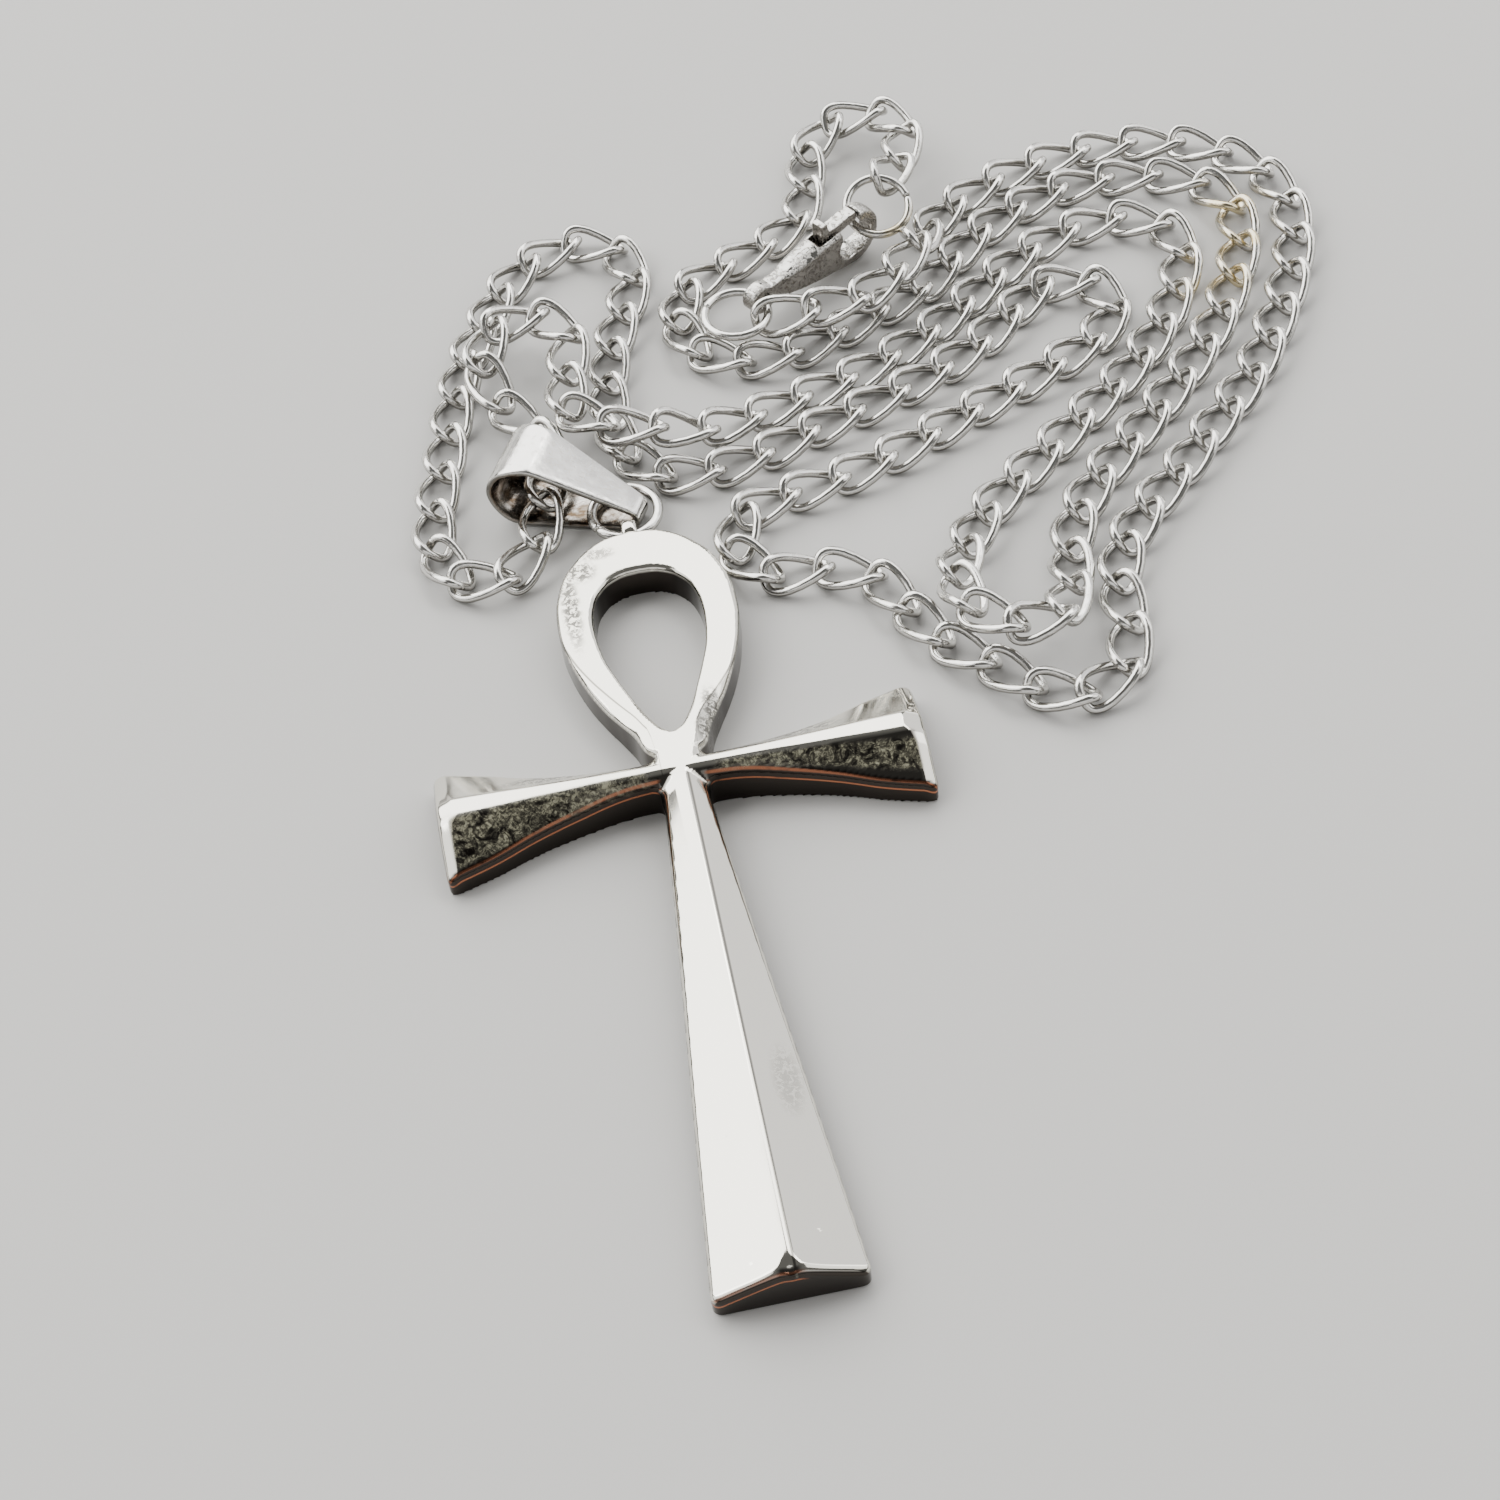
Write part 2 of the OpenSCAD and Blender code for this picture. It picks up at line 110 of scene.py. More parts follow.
table_paint, tree, shader = new_material("table_paint")
shader.inputs["Base Color"].default_value = table_colour
shader.inputs["Roughness"].default_value = 0.75
shader.inputs["Specular IOR Level"].default_value = 0.25
grain = add_node(tree, "TexNoise", {"Scale": 260.0, "Detail": 5.0})
uneven(tree, shader, grain.outputs["Fac"], 0.12, 0.0002)
half = table_size / 2
table = new_piece("table", [(-half, -half, -table_drop), (half, -half, -table_drop),
                            (half, half, -table_drop), (-half, half, -table_drop)],
                  [(0, 1, 2, 3)], table_paint, smooth=False)


# The light. A wide soft window stands beyond the chain to the left, with weaker ones high up, to
# the right, on both sides and behind the camera, in a dim plain room. Polished metal shows what
# stands round it, so they make its flat tops shine and leave dark bands between.
window_distance = 1300


def soft_window(name, azimuth, elevation, width, height, watts, colour):
    light = bpy.data.lights.new(name, "AREA")
    light.shape = "RECTANGLE"
    light.size = width * MM
    light.size_y = height * MM
    light.energy = watts
    light.color = colour
    lamp = bpy.data.objects.new(name, light)
    a, e = math.radians(azimuth), math.radians(elevation)
    towards = Vector((math.sin(a) * math.cos(e), math.cos(a) * math.cos(e), math.sin(e)))
    lamp.location = towards * window_distance * MM
    lamp.rotation_euler = towards.to_track_quat("Z", "Y").to_euler()
    bpy.context.scene.collection.objects.link(lamp)


soft_window("window_left", -30, 42, 2000, 1300, 36, (1.0, 0.99, 0.96))
soft_window("window_high", 50, 56, 700, 400, 3.8, (1.0, 0.99, 0.97))
soft_window("window_right", 52, 25, 1300, 1000, 4.9, (0.99, 0.98, 0.99))
soft_window("window_far", 5, 7, 2400, 200, 1.4, (1.0, 0.98, 0.95))
soft_window("window_side_left", -92, 31, 800, 1000, 4.2, (1.0, 0.99, 0.97))
soft_window("window_side_right", 92, 31, 800, 1000, 4.2, (1.0, 0.99, 0.97))
soft_window("window_behind", 180, 23, 2200, 800, 4.5, (1.0, 0.99, 0.98))
world = bpy.data.worlds.new("room")
bpy.context.scene.world = world
world.use_nodes = True
world.node_tree.nodes["Background"].inputs["Color"].default_value = (0.13, 0.128, 0.124, 1)


# The ankh. One zinc casting with a flat back: two arms and a stem that flare outwards under a
# rounded ridge, and a drop-shaped loop whose legs rise into the crossing. It is plated bright,
# and the plating is pitted and stained on the slopes, and worn to copper along the low edges.
arm_half_span = 18
arm_end_width = 10.1
stem_length = 41.7
foot_width = 10.6
loop_height = 24.4
loop_width = 13.8
band_width = 2.75
crown_width = 4.25
crotch = 3.4
ridge_height = 3.9
band_height = 3
ridge_half = 0.36
ridge_round = 0.3
edge_round = 0.34
end_band, end_fall, end_round = 0.95, 0.55, 0.22
band_widening, widening_reach = 0.5, 1.3
foot_band = 0.45
ridge_flare = 0.32
end_corner_round = 0.8
corner_fillet = 0.9
valley_fillet = 0.14
crossing_fillet, crossing_reach = 0.5, 1.3
leg_fillet, leg_fillet_reach = 0.55, 2.8
stem_top, stem_top_fall, stem_top_round = 0.5, 0.8, 0.4
crown_round = 0.15
leg_start, leg_blend = 17, 5
leg_rise_start, leg_rise_length = 7.5, 5
crease_depth = 0.55
left_crease_start, left_crease_length = 15.5, 12
right_crease_start, right_crease_length = 10.5, 7
bevel_left, bevel_right, bevel_softening, softened_reach = 0.32, 0.5, 0.85, 2.3
loop_middle = 13
line_steps = 60
cell = 0.16
back_edge = 0.12
# Half of the loop from its crown to the crotch: outer x, outer y, hole x, hole y, as shares
LOOP = [
    (0, 1, 0, 1), (0.38, 0.977, 0.39, 0.985), (0.68, 0.912, 0.7, 0.934),
    (0.885, 0.824, 0.905, 0.854), (0.985, 0.721, 0.988, 0.764), (1, 0.623, 1, 0.669),
    (0.95, 0.52, 0.94, 0.531), (0.835, 0.406, 0.77, 0.388), (0.69, 0.311, 0.555, 0.245),
    (0.536, 0.23, 0.36, 0.119), (0.42, 0.164, 0.18, 0.03), (0.33, 0.09, 0.06, 0.004),
    (0, 0.04, 0, 0)]
# From the crossing outwards: share of the length, of the end's width, of the ridge's height
ARM = [(0, 0.21, 0.82), (0.22, 0.24, 0.79), (0.44, 0.38, 0.67), (0.61, 0.54, 0.59),
       (0.8, 0.79, 0.53), (1, 1, 0.49)]
STEM = [(-0.03, 0.26, 0.8), (0.03, 0.3, 0.76), (0.35, 0.53, 0.6), (0.7, 0.79, 0.49),
        (1, 1, 0.44)]
# Small knocks in the stem: x, y, size, depth
DENTS = [(-2.24, -30.4, 0.2, 0.05), (-2.29, -40.2, 0.22, 0.06), (2.42, -38.7, 0.2, 0.05),
         (3.1, -25.9, 0.3, 0.03), (0.1, -41.3, 0.5, 0.35)]


def smooth_line(rows, steps):
    """A smooth curve through the rows, with this many steps from each row to the next."""
    rows = np.array(rows, float)
    gaps = np.linalg.norm(np.diff(rows, axis=0), axis=1)[:, None]
    slopes = np.vstack([(rows[1] - rows[0]) / gaps[0], np.zeros_like(rows[1:-1]),
                        (rows[-1] - rows[-2]) / gaps[-1]])
    before, after = gaps[:-1], gaps[1:]
    slopes[1:-1] = ((rows[1:-1] - rows[:-2]) * after / before
                    + (rows[2:] - rows[1:-1]) * before / after) / (before + after)
    u = (np.arange(steps) / steps)[:, None, None]
    spans = ((2 * u**3 - 3 * u**2 + 1) * rows[:-1] + (u**3 - 2 * u**2 + u) * gaps * slopes[:-1]
             + (3 * u**2 - 2 * u**3) * rows[1:] + (u**3 - u**2) * gaps * slopes[1:])
    return np.vstack([spans.swapaxes(0, 1).reshape(-1, rows.shape[1]), rows[-1:]])


def larger(a, b, blend):
    """The larger of two values, with the corner where they cross rounded off."""
    near = np.maximum(blend - np.abs(a - b), 0) / blend
    return np.maximum(a, b) + near * near * blend / 4


def smaller(a, b, blend):
    return -larger(-a, -b, blend)


def filleted(a, b, blend):
    """The higher of two surfaces, with a fillet in the valleys between them, not on the top."""
    top = np.maximum(a, b)
    return top + (larger(a, b, blend) - top) * fade((ridge_height - top) / 0.3)


def ramp(u, blend):
    """Nothing below zero and u above it, with the bend rounded off."""
    return np.where(u < -blend, 0, np.where(u > blend, u, (u + blend) ** 2 / (4 * blend)))


def fade(u):
    """A soft step from 0 to 1 while u goes from 0 to 1."""
    u = np.clip(u, 0, 1)
    return u * u * (3 - 2 * u)


arm_line = smooth_line(ARM, line_steps) * (arm_half_span, arm_end_width / 2, ridge_height)
stem_line = smooth_line(STEM, line_steps) * (stem_length, foot_width / 2, ridge_height)
loop_line = smooth_line(LOOP, line_steps)
loop_outer = loop_line[:, :2] * (loop_width / 2, loop_height) - (0, loop_middle)
loop_hole = (loop_line[:, 2:] * (loop_width / 2 - band_width, loop_height - crown_width - crotch)
             + (0, crotch - loop_middle))


def loop_radius(outline, x, y):
    """How far the outline is from the loop's middle, in the direction of the point."""
    turn = np.arctan2(outline[:, 0], outline[:, 1])
    return np.interp(np.arctan2(np.abs(x), y - loop_middle), turn, np.hypot(*outline.T))


def band_share(x, y):
    """How far across the loop's band a point lies: 0 at the outer edge, 1 at the hole."""
    outer, hole = loop_radius(loop_outer, x, y), loop_radius(loop_hole, x, y)
    return (outer - np.hypot(x, y - loop_middle)) / (outer - hole)


def crease_share(x, y):
    """Where the crease runs on each leg, as a share of the band: it starts higher on the left."""
    left = fade((left_crease_start - y) / left_crease_length)
    right = fade((right_crease_start - y) / right_crease_length)
    return crease_depth * np.where(x < 0, left, right)


def bar_inside(line, along, across):
    """How far inside the outline of an arm or the stem a point lies, negative outside."""
    half_width = np.interp(along, line[:, 0], line[:, 1])
    return smaller((half_width - np.abs(across)) * 0.97, line[-1, 0] - along, end_corner_round)


def inside_ankh(x, y):
    arms = bar_inside(arm_line, np.abs(x), y)
    stem = np.where(y > stem_top, -np.hypot(x, y), bar_inside(stem_line, -y, x))
    radius = np.hypot(x, y - loop_middle)
    loop = (loop_radius(loop_outer, x, y) - radius) * 0.9
    metal = larger(larger(arms, stem, corner_fillet), loop, corner_fillet)
    return np.minimum(metal, (radius - loop_radius(loop_hole, x, y)) * 0.9)


def bar_height(line, along, across, band, flare):
    """The height of an arm or the stem: a level ridge, two slopes, and a bevelled end band."""
    half_width = np.interp(along, line[:, 0], line[:, 1])
    edge = np.interp(along, line[:, 0], line[:, 2])
    level_half = ridge_half + flare * fade(along / line[-1, 0])
    slope = (ridge_height - edge) / (half_width - level_half)
    height = ridge_height - slope * ramp(np.abs(across) - level_half, ridge_round)
    widening = 1 + band_widening * np.exp(-(across / widening_reach) ** 2)
    return height - end_fall * ramp(along - line[-1, 0] + band * widening, end_round)


def loop_height_at(x, y):
    """The height of the loop: a flat crown, and legs that are bevelled outside their crease."""
    share = np.minimum(band_share(x, y), 1.5)
    middle = band_height + (ridge_height - band_height) * fade((leg_rise_start - y) / leg_rise_length)
    crown = middle - crown_round * np.abs(2 * share - 1) ** 5
    on_leg = fade((np.abs(x) - 0.3) / 1.9)
    crease = crease_share(x, y) * on_leg - 0.4 * (1 - on_leg)
    softened = 1 - bevel_softening * np.exp(-(x**2 + (y - 1) ** 2) / softened_reach**2)
    bevel = np.where(x < 0, bevel_left, bevel_right) * softened
    leg = middle - bevel * band_width * ramp(crease - share, 0.06)
    weight = fade((leg_start - y) / leg_blend)
    return crown * (1 - weight) + leg * weight


def ankh_height(x, y):
    arms = bar_height(arm_line, np.abs(x), y, end_band, ridge_flare)
    stem = bar_height(stem_line, -y, x, foot_band, 0)
    stem = stem - stem_top_fall * ramp(y - stem_top, stem_top_round)
    crossing = np.exp(-(x**2 + y**2) / crossing_reach**2)
    around_crossing = np.exp(-(x**2 + y**2) / leg_fillet_reach**2)
    height = filleted(arms, stem, valley_fillet + crossing_fillet * crossing)
    height = filleted(height, loop_height_at(x, y), valley_fillet + leg_fillet * around_crossing)
    for dent_x, dent_y, dent_size, dent_depth in DENTS:
        height = height - dent_depth * np.exp(-((x - dent_x) ** 2 + (y - dent_y) ** 2) / dent_size**2)
    return height


def slopes_of(function, x, y, reach=0.02):
    """How fast the function rises towards x and towards y."""
    return ((function(x + reach, y) - function(x - reach, y)) / (2 * reach),
            (function(x, y + reach) - function(x, y - reach)) / (2 * reach))


# Cells of a square net over the outline, those on its border cut along it
columns = np.arange(-arm_half_span - 2 * cell, arm_half_span + 3 * cell, cell)
lines = np.arange(-stem_length - 2 * cell, loop_height + 3 * cell, cell)
net_x, net_y = np.meshgrid(columns, lines, indexing="ij")
net_inside = inside_ankh(net_x, net_y)
corner_number, flat_points, on_border, cells = {}, [], [], []


def net_corner(i, j):
    if (i, j) not in corner_number:
        corner_number[i, j] = len(flat_points)
        flat_points.append((columns[i], lines[j]))
        on_border.append(False)
    return corner_number[i, j]


def border_point(a, b):
    key = (min(a, b), max(a, b))
    if key not in corner_number:
        corner_number[key] = len(flat_points)
        u = net_inside[a] / (net_inside[a] - net_inside[b])
        flat_points.append((columns[a[0]] + u * (columns[b[0]] - columns[a[0]]),
                            lines[a[1]] + u * (lines[b[1]] - lines[a[1]])))
        on_border.append(True)
    return corner_number[key]


full = net_inside > 0
touched = full[:-1, :-1] | full[1:, :-1] | full[1:, 1:] | full[:-1, 1:]
for i, j in np.argwhere(touched).tolist():
    corners = [(i, j), (i + 1, j), (i + 1, j + 1), (i, j + 1)]
    outline = []
    for a, b in zip(corners, corners[1:] + corners[:1]):
        if full[a]:
            outline.append(net_corner(*a))
        if full[a] != full[b]:
            outline.append(border_point(a, b))
    cells.append(outline)
flat = np.array(flat_points)
border = np.array(on_border)
# The border's points are moved onto the outline, and its edge is rounded off
for _ in range(3):
    x, y = flat[border].T
    slope_x, slope_y = slopes_of(inside_ankh, x, y)
    move = inside_ankh(x, y) / np.maximum(slope_x**2 + slope_y**2, 0.05)
    flat[border] -= np.clip(np.stack([move * slope_x, move * slope_y], 1), -cell, cell)
x, y = flat.T
edge_x, edge_y = slopes_of(inside_ankh, x, y)
steepness = np.maximum(np.hypot(edge_x, edge_y), 0.2)
edge_x, edge_y = edge_x / steepness, edge_y / steepness
from_edge = np.where(border, 0, np.maximum(inside_ankh(x, y) / steepness, 0))
left_over = np.clip(edge_round - from_edge, 0, edge_round)
fall = np.sqrt(edge_round**2 - left_over**2)
height = ankh_height(x, y) - edge_round + fall
height_x, height_y = slopes_of(ankh_height, x, y)
normals = np.stack([-height_x * fall - left_over * edge_x,
                    -height_y * fall - left_over * edge_y, fall], 1)
normals /= np.linalg.norm(normals, axis=1)[:, None]

# Walls below the border, in rows down to the flat back
count = len(flat)
rim = np.flatnonzero(border)
wall_drops = [0.12, 0.26, 0.4]  # the lower copper line lies between the first two
place_on_rim = {int(k): n for n, k in enumerate(rim)}
out_x, out_y = -edge_x, -edge_y
wall_rows = [np.column_stack([flat[rim], height[rim] - drop]) for drop in wall_drops]
wall_rows.append(np.column_stack([flat[rim], np.full(len(rim), back_edge)]))
points = np.vstack([
    np.column_stack([flat, height]),
    np.column_stack([x - np.where(border, out_x * back_edge, 0),
                     y - np.where(border, out_y * back_edge, 0), np.zeros(count)]),
    *wall_rows])
faces, on_back = list(cells), [False] * len(cells)
for outline in cells:
    faces.append([k + count for k in reversed(outline)])
    on_back.append(True)
    for a, b in zip(outline, outline[1:] + outline[:1]):
        if border[a] and border[b] and a != b:
            below = [2 * count + row * len(rim) for row in range(len(wall_rows))]
            chain_a = [a] + [start + place_on_rim[a] for start in below] + [a + count]
            chain_b = [b] + [start + place_on_rim[b] for start in below] + [b + count]
            for row in range(len(chain_a) - 1):
                faces.append([chain_b[row], chain_a[row], chain_a[row + 1], chain_b[row + 1]])
                on_back.append(False)
outward = np.column_stack([out_x, out_y, np.zeros(count)])
point_normals = np.vstack([normals, outward * 0.5 - (0, 0, 0.86),
                           np.tile(outward[rim], (len(wall_rows), 1))])


def tube(line, side, wide, thick, corners=16, boxiness=1.0, closed=True):
    """Points and faces of a tube round a line; side is the way that its width points."""
    line = np.asarray(line, float)
    if closed:
        along = np.roll(line, -1, 0) - np.roll(line, 1, 0)
    else:
        along = np.gradient(line, axis=0)
    along /= np.linalg.norm(along, axis=1)[:, None]
    across = side - (side * along).sum(1)[:, None] * along
    across /= np.linalg.norm(across, axis=1)[:, None]
    over = np.cross(along, across)
    turn = 2 * np.pi * np.arange(corners) / corners
    wave_x = np.sign(np.cos(turn)) * np.abs(np.cos(turn)) ** boxiness
    wave_y = np.sign(np.sin(turn)) * np.abs(np.sin(turn)) ** boxiness
    wide = np.broadcast_to(wide, len(line))[:, None, None]
    thick = np.broadcast_to(thick, len(line))[:, None, None]
    rings = (line[:, None] + wide * wave_x[:, None] * across[:, None]
             + thick * wave_y[:, None] * over[:, None])
    last = len(line) if closed else len(line) - 1
    found = []
    for i in range(last):
        a, b = i * corners, (i + 1) % len(line) * corners
        found += [(a + j, a + (j + 1) % corners, b + (j + 1) % corners, b + j)
                  for j in range(corners)]
    if not closed:
        found += [tuple(reversed(range(corners))),
                  tuple((len(line) - 1) * corners + j for j in range(corners))]
    return rings.reshape(-1, 3), found


# The eye for the jump ring, cast with the crown, its hole across the pendant
eye_outer, eye_hole, eye_thick, eye_y = 1.3, 0.7, 1.2, 25.15
eye_steps = 48
turn = 2 * np.pi * np.arange(eye_steps) / eye_steps
eye_line = np.column_stack([0 * turn, np.cos(turn), np.sin(turn)]) * (eye_outer + eye_hole) / 2
eye_points, eye_faces = tube(eye_line + (0, eye_y, eye_outer), np.array((1.0, 0, 0)),
                             eye_thick / 2, (eye_outer - eye_hole) / 2, boxiness=0.6)
body_points = len(points)
points = np.vstack([points, eye_points])
faces += [[k + body_points for k in face] for face in eye_faces]
on_back += [False] * len(eye_faces)

# How the plating has aged at each point, and where dark is painted on. The near slopes of the arms are
# stained, the low edges and the foot are worn to copper, and the loop and the far slopes are pitted. The
# near slopes, the rim, a band along the low edges, the ridge's end, the foot and the walls get a painted
# dark reflection, and the back a painted shade.
# The stain covers the slope between two shares of its width, from its low edge up.
left_stain, right_stain, stain_start = (0.08, 0.9), (0.2, 0.76), 2.1
clean_end, copper_start, copper_foot = 0.75, 1.5, 0.6
# Amounts of painted dark reflection on the near slopes, the rim, the ridge's end and the far walls, and of
# painted shade on the back; then how far the painted dark reaches at the low edges, the foot and the
# ridge's end
slope_painted_dark, border_painted_dark, ridge_end_painted_dark, back_painted_shade, far_wall_painted_dark = 0.86, 0.6, 0.9, 0.4, 0.25
low_edge_painted_dark_reach, foot_painted_dark_reach, ridge_end_painted_dark_reach = 0.55, 0.3, 0.65
# Patches of pits: middle x and y, half of the width and of the height, amount
PITS = [(-5.6, 17.4, 0.6, 3.4, 1.0), (-4.5, 20.9, 1.1, 0.9, 1.0), (-2.9, 22.4, 1.2, 0.5, 0.7),
        (-9.5, 1.7, 2.6, 0.6, 0.9), (8.2, 1.7, 2.9, 0.8, 1.0), (2.6, -27.0, 0.8, 2.2, 0.4),
        (3.2, 5.4, 0.6, 1.6, 1.0), (2.3, 3.2, 0.5, 1.0, 1.0)]
# Black spots in the stain at the left arm's end: x, y, size
BLACK_SPOTS = [(-16, -3.3, 0.7), (-15.3, -3.9, 0.4), (-13.2, -2.3, 0.3)]
# The fine dark line beside the stem's ridge, a painted dark reflection, and where the painted shade lines
# along the legs' creases give way to it
ridge_line_x, legs_end = 0.42, 1.5
top, back, walls = slice(0, count), slice(count, 2 * count), slice(2 * count, body_points)
px, py = points[:, 0], points[:, 1]
arm_half = np.interp(np.abs(px), arm_line[:, 0], arm_line[:, 1])
near_edge = arm_half + py
above_foot = py + stem_length
up_slope = near_edge / arm_half
before_end = fade((arm_half_span - clean_end - np.abs(px)) / 0.3)


def between(u, low, low_blend, high, high_blend):
    return fade((u - low) / low_blend) * fade((high - u) / high_blend)


left_film = between(up_slope, left_stain[0], 0.08, left_stain[1], 0.1)
right_film = between(up_slope, right_stain[0], 0.1, right_stain[1], 0.1)
stained = np.where(px < 0, left_film, right_film) * fade((np.abs(px) - stain_start) / 0.8) * before_end

low_edge = (fade((np.abs(px) - copper_start) / 0.3) * fade((-py - 0.3) / 0.2) * (near_edge > -0.2)
            * (near_edge < 1.2))
foot_edge = fade((copper_foot - above_foot) / 0.2) * fade((1.3 - px) / 0.8)
worn = np.maximum(low_edge, foot_edge)
from_low_edge = np.clip(np.where(above_foot < 1, above_foot, near_edge), -1, 1)
from_low_edge[rim] = 0
from_low_edge[count:] = -1
for row, drop in enumerate(wall_drops):
    first = 2 * count + row * len(rim)
    from_low_edge[first:first + len(rim)] = -drop

pitted = np.zeros(len(points))
for pit_x, pit_y, half_x, half_y, amount in PITS:
    far = np.hypot((px - pit_x) / half_x, (py - pit_y) / half_y)
    pitted = np.maximum(pitted, amount * fade(1.6 - far))

level_half = ridge_half + ridge_flare * fade(np.abs(px) / arm_half_span)
# Painted dark reflection on the near slopes of the arms, the rim, a band along the low edges and the
# ridge's end; the black spots are marks in the stain
near_slope = (fade((-py - level_half - 0.02) / 0.15) * fade((np.abs(px) + py - 0.1) / 0.25)
              * fade((near_edge + 0.2) / 0.1) * before_end)
painted_dark_and_spots = slope_painted_dark * near_slope
painted_dark_and_spots[top] = np.maximum(painted_dark_and_spots[top], np.where(border, border_painted_dark, 0))
painted_dark_and_spots[top] = np.maximum(painted_dark_and_spots[top], (low_edge * fade((low_edge_painted_dark_reach - near_edge) / 0.12))[top])
for spot_x, spot_y, spot_size in BLACK_SPOTS:
    painted_dark_and_spots[top] = np.maximum(painted_dark_and_spots[top], fade(1.5 - np.hypot(x - spot_x, y - spot_y) / spot_size))
ridge_end = fade((ridge_end_painted_dark_reach - above_foot) / 0.2) * fade((0.9 - np.abs(px)) / 0.4)
painted_dark_and_spots = np.maximum(painted_dark_and_spots, ridge_end_painted_dark * ridge_end)
# Painted dark reflection on the walls, full on those that face the near side, and on the foot's end;
# painted shade on the back
near_side = fade((0.6 - np.tile(out_y[rim], len(wall_rows))) / 0.6)
painted_dark_and_spots[walls] = far_wall_painted_dark + (1 - far_wall_painted_dark) * near_side
painted_dark_and_spots[back] = back_painted_shade
at_foot = fade((foot_painted_dark_reach - above_foot) / 0.15)
painted_dark_and_spots = np.maximum(painted_dark_and_spots, at_foot)
# Red is how stained a point is, green how worn to copper, blue how pitted, and alpha how dark it is
# painted: painted dark reflection and painted shade, with the black spots
wear_and_painted_dark = np.column_stack([stained, worn, pitted, painted_dark_and_spots])
wear_and_painted_dark[body_points:] = 0

# Distance from the painted shade line along the legs' creases and from the painted dark line beside the
# stem's ridge
on_loop = (band_share(px, py) - crease_share(px, py)) * band_width
from_crease = np.where(py > legs_end, on_loop, px - ridge_line_x)
from_crease += fade((1.8 - np.abs(px)) / 0.4) * (py > -0.6) * 2
from_crease[count:] = 2


ankh_plate, tree, shader = new_material("pitted_plate")


def mix_colours(tree, amount, first, second):
    return add_node(tree, "Mix", {0: amount, 6: first, 7: second}, data_type="RGBA").outputs[2]


def stretch(tree, value, low, high, to_low=0.0, to_high=1.0):
    """The value from low to high turned into one from to_low to to_high, and held there."""
    return add_node(tree, "MapRange", {"Value": value, "From Min": low, "From Max": high,
                                       "To Min": to_low, "To Max": to_high}).outputs["Result"]


def calculate(tree, operation, *values):
    return add_node(tree, "Math", dict(enumerate(values)), operation=operation).outputs[0]


def times(tree, first, second):
    return calculate(tree, "MULTIPLY", first, second)


def plus(tree, first, second):
    return calculate(tree, "ADD", first, second)


def line_at(tree, value, place, half_width):
    """A thin line where the value is near the given place."""
    away = calculate(tree, "ABSOLUTE", calculate(tree, "SUBTRACT", value, place))
    return stretch(tree, away, half_width, 0.4 * half_width)


def noise(tree, scale, detail=4.0, roughness=0.5, distortion=0.0):
    place = add_node(tree, "TexCoord").outputs["Object"]
    return add_node(tree, "TexNoise", {"Vector": place, "Scale": scale, "Detail": detail,
                                       "Roughness": roughness, "Distortion": distortion}).outputs["Fac"]


silver = (0.89, 0.87, 0.79, 1)
stain_and_painted_dark = (0.035, 0.034, 0.028, 1)
stain_green = (0.36, 0.35, 0.25, 1)
copper_red = (0.5, 0.19, 0.1, 1)
# Near black for the painted dark reflection and painted shade, and for the black spots
painted_dark_and_spot_colour = (0.045, 0.038, 0.033, 1)
pit_grey = (0.1, 0.095, 0.085, 1)
crease_line_painted_shade = (0.12, 0.115, 0.1, 1)
marks = add_node(tree, "Attribute", attribute_name="wear_and_painted_dark")
split = add_node(tree, "SeparateColor", {"Color": marks.outputs["Color"]})
stain, bare, pits = split.outputs
sides = marks.outputs["Alpha"]
blotches = stretch(tree, noise(tree, 900, 6, 0.7, 1.6), 0.4, 0.6)
speckle = stretch(tree, noise(tree, 3600, 5, 0.65, 0.8), 0.42, 0.58)
film = times(tree, stain, times(tree, blotches, plus(tree, 0.35, times(tree, speckle, 0.65))))
pit_spots = times(tree, pits, stretch(tree, noise(tree, 2300, 6, 0.65, 1.0), 0.43, 0.53))
# The stained band is painted near black: partly the stain, partly a painted dark reflection
colour = mix_colours(tree, times(tree, stain, 0.75), silver, stain_and_painted_dark)
# Painted dark reflection and painted shade, with the black spots, from the marks' alpha
colour = mix_colours(tree, sides, colour, painted_dark_and_spot_colour)
colour = mix_colours(tree, film, colour, stain_green)
colour = mix_colours(tree, times(tree, pit_spots, 0.9), colour, pit_grey)
down_edge = add_node(tree, "Attribute", attribute_name="from_low_edge").outputs["Fac"]
from_crease_line = add_node(tree, "Attribute", attribute_name="from_crease").outputs["Fac"]
# A thin painted shade line along the legs' creases, and a painted dark reflection line beside the stem's
# ridge
colour = mix_colours(tree, times(tree, line_at(tree, from_crease_line, 0, 0.12), 0.8), colour, crease_line_painted_shade)
upper_line = times(tree, line_at(tree, down_edge, 0.27, 0.11), 0.6)
both_lines = plus(tree, upper_line, line_at(tree, down_edge, -0.2, 0.13))
copper_lines = times(tree, times(tree, bare, both_lines), stretch(tree, noise(tree, 500, 3), 0.25, 0.4))
colour = mix_colours(tree, copper_lines, colour, copper_red)
tree.links.new(colour, shader.inputs["Base Color"])
dull = calculate(tree, "MAXIMUM", film, times(tree, pit_spots, 0.55))
tree.links.new(stretch(tree, dull, 0, 1, 1, 0.12), shader.inputs["Metallic"])
smudge = stretch(tree, noise(tree, 320, 5, 0.6), 0.35, 0.75, 0.06, 0.15)
dulled = plus(tree, smudge, plus(tree, times(tree, dull, 0.3), times(tree, copper_lines, 0.25)))
tree.links.new(dulled, shader.inputs["Roughness"])
uneven(tree, shader, noise(tree, 160, 2), 0.4, 0.00003)
pit_depth = times(tree, plus(tree, pits, times(tree, stain, 0.6)), noise(tree, 2400, 5, 0.6, 0.6))
uneven(tree, shader, pit_depth, 0.8, 0.00005)


